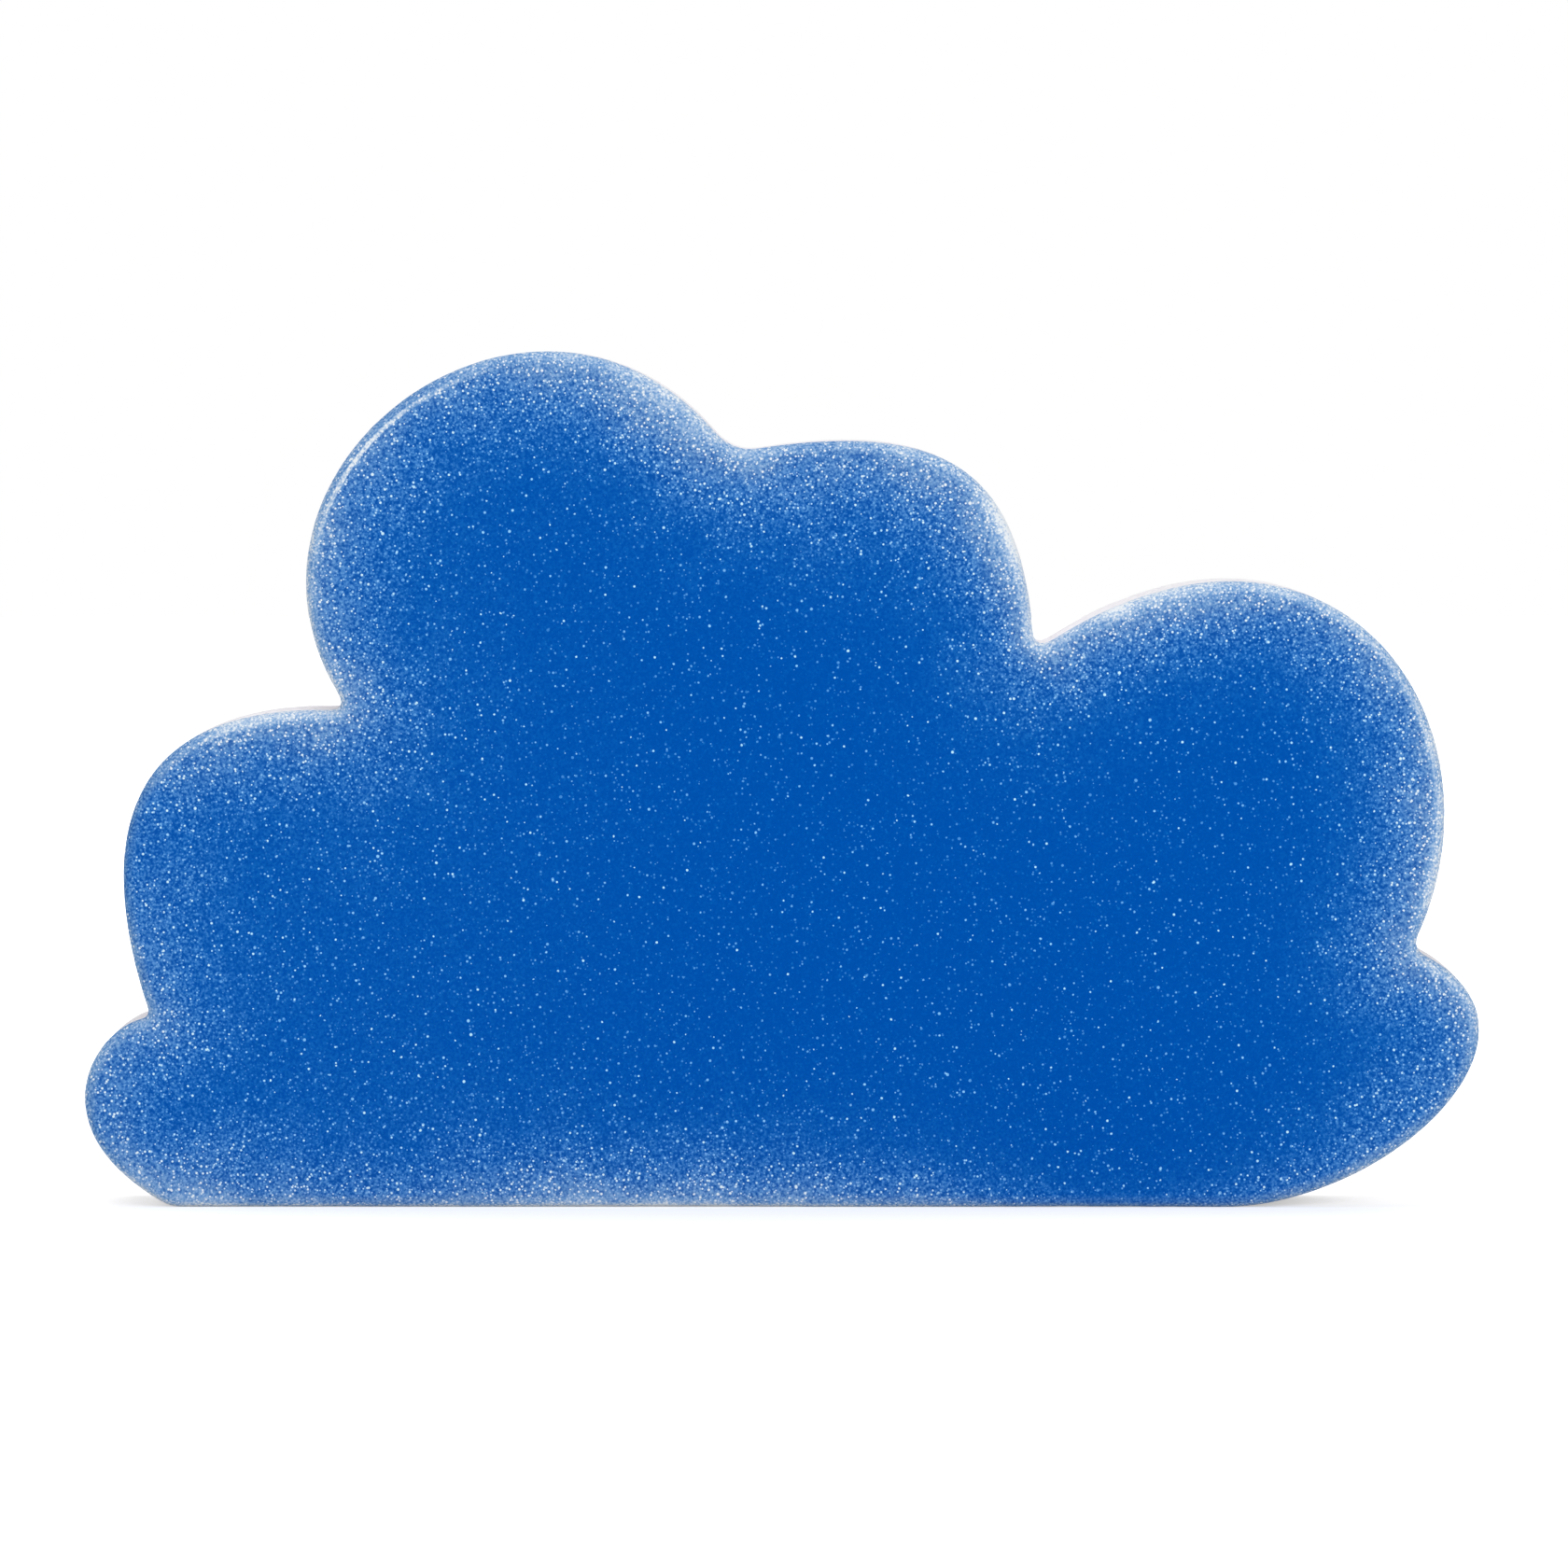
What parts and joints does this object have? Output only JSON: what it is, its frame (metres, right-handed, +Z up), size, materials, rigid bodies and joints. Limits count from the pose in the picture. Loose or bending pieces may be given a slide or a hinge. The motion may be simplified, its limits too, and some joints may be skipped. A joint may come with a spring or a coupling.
{
  "type": "cleaning sponge",
  "caption": "Cloud shaped cleaning sponge of soft foam, with a flat base, a rolled front edge, a speckled blue face and pale sides.",
  "frame": {"origin": "middle of the flat base, at the bottom centre of the sponge's box", "axes": "+X along the length, +Y through the thickness from the blue face to the back, +Z up"},
  "size_m": [0.1406, 0.02, 0.0862],
  "materials": {
    "foam": "matte open foam, blue coat with fine white specks on the face, pale at the sides and back"
  },
  "bodies": {
    "root": {"sponge": "foam"}
  },
  "joints": []
}
